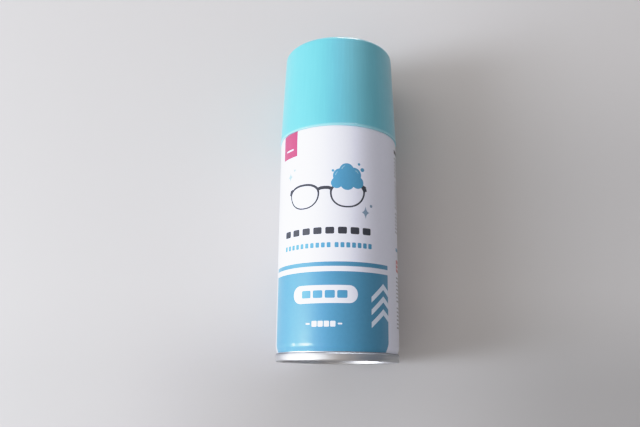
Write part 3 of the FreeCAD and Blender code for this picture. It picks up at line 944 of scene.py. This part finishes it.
# ---------------------------------------------------------------- looks of the CAD pieces
COMPOUND = ((0.48, 0.45, 0.36), (0.60, 0.57, 0.48))
DUST = (0.12, 0.12, 0.12)
LOOKS = {
    "can_body": tinplate("body_tinplate", grain=GRAIN_ALONG_Z),
    # the base's tinplate is toned darker than the rest: painted shade that dims its highlight
    "bottom_dome": tinplate("base_tinplate", tone=0.77, seam=True),
    "top_cone": tinplate("cone_tinplate"),
    "mounting_cup": tinplate("cup_tinplate", tone=1.04),
    "top_seam_compound": rubber("compound_top", *COMPOUND),
    "bottom_seam_compound": rubber("compound_base", *COMPOUND),
    "cup_gasket": rubber("cup_gasket_rubber", (0.025, 0.025, 0.028), DUST),
    "stem_gasket": rubber("stem_gasket_rubber", (0.030, 0.030, 0.030), DUST),
    "valve_housing": moulded("housing_nylon", (0.82, 0.82, 0.78), (0.76, 0.76, 0.72),
                             rough=0.38, texture=1.0, subsurface=0.2),
    "valve_stem": moulded("stem_acetal", (0.86, 0.86, 0.85), (0.82, 0.82, 0.81),
                          rough=0.30, texture=0.6, subsurface=0.2),
    "dip_tube": tube_plastic(),
    "liquid_fill": liquid(),
    "actuator": moulded("button_white_pp", (0.86, 0.87, 0.87), (0.82, 0.83, 0.84),
                        rough=0.36, texture=1.0, subsurface=0.1),
    "nozzle_insert": moulded("insert_white_pom", (0.76, 0.78, 0.80), (0.70, 0.72, 0.75),
                             rough=0.28, texture=0.7, subsurface=0.1),
    "overcap": cap_plastic(),
}
for name, look in LOOKS.items():
    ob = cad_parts[name]
    if not ob.data.materials:
        ob.data.materials.append(None)
    for slot in ob.material_slots:
        slot.link = "OBJECT"
        slot.material = look

# ---------------------------------------------------------------- camera (metres)
SPIN = Matrix.Rotation(math.radians(12.3), 3, "Z")      # turns the view round the can
EYE = SPIN @ Vector((0.0, -0.24369, -0.00694))
TO_EYE = SPIN @ Vector((0, -1, 0))
TO_LEFT = SPIN @ Vector((-1, 0, 0))


def add_camera():
    yaw, pitch, roll = math.radians(-1.649), math.radians(14.64), math.radians(0.668)
    forward = Vector((math.sin(yaw) * math.cos(pitch), math.cos(yaw) * math.cos(pitch),
                      math.sin(pitch)))
    level = Vector((math.cos(yaw), -math.sin(yaw), 0))
    upright = level.cross(forward)
    right = SPIN @ (level * math.cos(roll) + upright * math.sin(roll))
    up = SPIN @ (-level * math.sin(roll) + upright * math.cos(roll))
    pose = Matrix((right, up, -(SPIN @ forward))).transposed().to_4x4()
    pose.translation = EYE
    data = bpy.data.cameras.new("camera")
    data.lens = 36.264
    data.sensor_width = 36.0
    data.clip_start = 0.005
    data.clip_end = 30.0
    camera = bpy.data.objects.new("camera", data)
    camera.matrix_world = pose
    bpy.context.scene.collection.objects.link(camera)
    bpy.context.scene.camera = camera


add_camera()


# ---------------------------------------------------------------- stage (metres)
# For the main camera the can lies on a pale table, whose normal is TO_EYE. Every other
# camera sees it stand on a pale floor. Surfaces, lights and world switch on the camera's
# place, so that one scene suits every view.
def switch(net, main):
    """1 when the view is the main camera's (or, if not main, any other), else 0."""
    camera = net.add("ShaderNodeVectorTransform", {0: (0, 0, 0)}, vector_type="POINT",
                     convert_from="CAMERA", convert_to="WORLD")
    on = net.math("LESS_THAN", net.measure("DISTANCE", camera, tuple(EYE)), 0.02)
    return on if main else 1.0 - on


FLOOR_HALF = 3.0


def stage_material(name, colour, main):
    net = material_net(name)
    position = net.add("ShaderNodeNewGeometry", {}, "Position")
    grain = net.noise(position, scale=900.0, rough=0.6)
    cloud = net.noise(position, scale=3.0, detail=2.0)
    base = net.mix(net.ramp(cloud, 0.3, 0.7), tuple(part * 0.985 for part in colour), colour)
    base = net.mix(grain * 0.02, base, (0.5, 0.5, 0.5))
    on = switch(net, main)
    if main:
        # painted shade: the table darkens to the right and towards the can's foot, where the
        # light dies away
        to_right = net.measure("DOT_PRODUCT", position, tuple(-TO_LEFT))
        z = net.separate(position)[2]
        right_painted_shade = (net.ramp(to_right, 0.025, 0.095, before=0.0, after=0.20)
                      * net.ramp(z, 0.070, 0.150, before=1.0, after=0.4))
        foot_painted_shade = (net.ramp(to_right, -0.100, -0.010, before=0.06, after=0.24)
                     * net.fade(z, -0.012, 0.035))
        base = net.scale(base, (1.0 - right_painted_shade) * (1.0 - foot_painted_shade) * 0.87)
    else:
        # the floor fades out with distance
        far = net.measure("LENGTH", position)
        on = on * net.fade(far, FLOOR_HALF * 0.12, FLOOR_HALF * 0.55)
    solid = net.shader("ShaderNodeBsdfPrincipled", Base_Color=base, Roughness=0.55,
                       Normal=net.bump(grain, strength=0.12, distance=0.00004),
                       Specular_IOR_Level=0.3)
    clear = net.shader("ShaderNodeBsdfTransparent")
    mixed = net.add("ShaderNodeMixShader", {0: on, 1: clear, 2: solid})
    return net.finish("ShaderNodeOutputMaterial", mixed)


def sheet(name, centre, across, along, half, mat, cells=24):
    """A flat square grid about its centre."""
    row = cells + 1
    verts = [tuple(centre + across * half * (2 * i / cells - 1)
                   + along * half * (2 * j / cells - 1))
             for j in range(row) for i in range(row)]
    corners = [j * row + i for j in range(cells) for i in range(cells)]
    mesh = bpy.data.meshes.new(name)
    mesh.from_pydata(verts, [], [(k, k + 1, k + row + 1, k + row) for k in corners])
    mesh.materials.append(mat)
    link_object(name, mesh)


TABLE_BEHIND = 0.02307      # from the can's axis to the table
sheet("table", -TO_EYE * TABLE_BEHIND + Vector((0, 0, 0.05)), -TO_LEFT, Vector((0, 0, 1)),
      1.6, stage_material("table_top", (0.70, 0.688, 0.682), main=True))
sheet("floor", Vector((0, 0, -0.00002)), Vector((1, 0, 0)), Vector((0, 1, 0)),
      FLOOR_HALF, stage_material("floor_top", (0.74, 0.74, 0.75), main=False))

# ---------------------------------------------------------------- lights
MIDDLE = Vector((0, 0, 0.055))


def from_left(elevation, tilt):
    """Direction to the left, raised off the table and tilted along the can, in degrees."""
    elevation, tilt = math.radians(elevation), math.radians(tilt)
    level = TO_LEFT * math.cos(elevation) + TO_EYE * math.sin(elevation)
    return level * math.cos(tilt) + Vector((0, 0, math.sin(tilt)))


def lamp(name, centre, size, power, colour, main, bell=False, shine=False):
    """An area lamp aimed at the can's middle; a shine lamp lights no diffuse surface."""
    data = bpy.data.lights.new(name, "AREA")
    data.shape = "RECTANGLE"
    data.size, data.size_y = size
    data.energy = power
    data.color = colour
    net = Net(data)
    on = switch(net, main)
    if bell:
        # brightest in the middle and dark at the edges, like a curtained window
        spot = net.separate(net.add("ShaderNodeNewGeometry", {}, "Parametric"))
        across, along = (net.math("SINE", part * math.pi) for part in spot[:2])
        on = on * net.math("POWER", net.math("MAXIMUM", across * along, 0.0), 1.5)
    net.finish("ShaderNodeOutputLight", net.shader("ShaderNodeEmission", Strength=on))
    ob = bpy.data.objects.new(name, data)
    ob.location = centre
    ob.rotation_mode = "QUATERNION"
    ob.rotation_quaternion = (MIDDLE - centre).normalized().to_track_quat("-Z", "Y")
    ob.visible_diffuse = not shine
    bpy.context.scene.collection.objects.link(ob)


WINDOW_WAY = from_left(elevation=29.5, tilt=-9.0)
lamp("window", MIDDLE + WINDOW_WAY * 0.9, size=(0.56, 0.36), power=21.3,
     colour=(0.94, 1.0, 1.12), main=True, bell=True)
lamp("low_glow", MIDDLE + from_left(elevation=3.5, tilt=-8.0) * 0.8, size=(0.10, 0.16),
     power=1.5, colour=(0.92, 1.0, 1.14), main=True, shine=True)
lamp("far_glow", MIDDLE + Vector((0, 0, 0.95)) + TO_EYE * 0.25 - TO_LEFT * 0.17,
     size=(0.55, 0.35), power=17.0, colour=(0.95, 1.0, 1.08), main=True, shine=True)
lamp("stand_key", Vector((-0.55, -0.75, 0.85)), size=(0.7, 0.7), power=9.0,
     colour=(0.97, 1.0, 1.06), main=False)
lamp("stand_fill", Vector((0.9, -0.5, 0.5)), size=(0.8, 0.8), power=2.6,
     colour=(1.0, 0.98, 0.95), main=False)
lamp("stand_back", Vector((0.2, 0.95, 0.7)), size=(0.8, 0.8), power=4.0,
     colour=(1.0, 1.0, 1.0), main=False)


def room_world():
    """A dim room with a glow round the window, or an even studio for the other cameras."""
    black = (0.0, 0.0, 0.0)
    world = bpy.data.worlds.new("room")
    bpy.context.scene.world = world
    net = Net(world)
    on = switch(net, main=True)
    ray = net.add("ShaderNodeTexCoord", {}, "Generated")
    side = net.measure("DOT_PRODUCT", ray, tuple(TO_LEFT))
    rise = net.separate(ray)[2]
    toward = net.measure("DOT_PRODUCT", ray, tuple(WINDOW_WAY))
    glow = net.math("POWER", net.math("MAXIMUM", toward, 0.0), 3.0)
    shade = net.ramp(side, -0.97, -0.35, before=0.42, after=1.0)
    tint = net.mix(net.ramp(side, -0.25, -0.80), (0.455, 0.390, 0.345), (0.350, 0.410, 0.500))
    room = net.mix(1.0, net.mix(glow, black, (1.34, 1.42, 1.50)),
                   net.mix(shade, black, tint), blend="ADD")
    studio = net.mix(net.ramp(rise, -0.1, 0.8), (0.66, 0.67, 0.68), (0.47, 0.48, 0.50))
    sky = net.shader("ShaderNodeBackground", Color=net.mix(on, studio, room))
    net.finish("ShaderNodeOutputWorld", sky)


room_world()

# ---------------------------------------------------------------- tone and render
WHITE = 2.2     # the scene brightness that becomes full white
# soft shoulder, straight up to about 0.7: scene brightness, shown brightness
SHOULDER = [
    (0.2, 0.2), (0.4, 0.4), (0.6, 0.6), (0.72, 0.715), (0.85, 0.80), (1.0, 0.872),
    (1.15, 0.925), (1.45, 0.975), (1.8, 0.993),
]
scene = bpy.context.scene
view = scene.view_settings
view.view_transform = "Standard"
view.look = "None"
view.use_curve_mapping = True
mapping = view.curve_mapping
mapping.white_level = (WHITE, WHITE, WHITE)
curve = mapping.curves[3]
curve.points[0].location = (0.0, 0.0)
curve.points[1].location = (1.0, 1.0)
for brightness, shown in SHOULDER:
    curve.points.new(brightness / WHITE, shown)
mapping.update()
scene.cycles.use_denoising = True
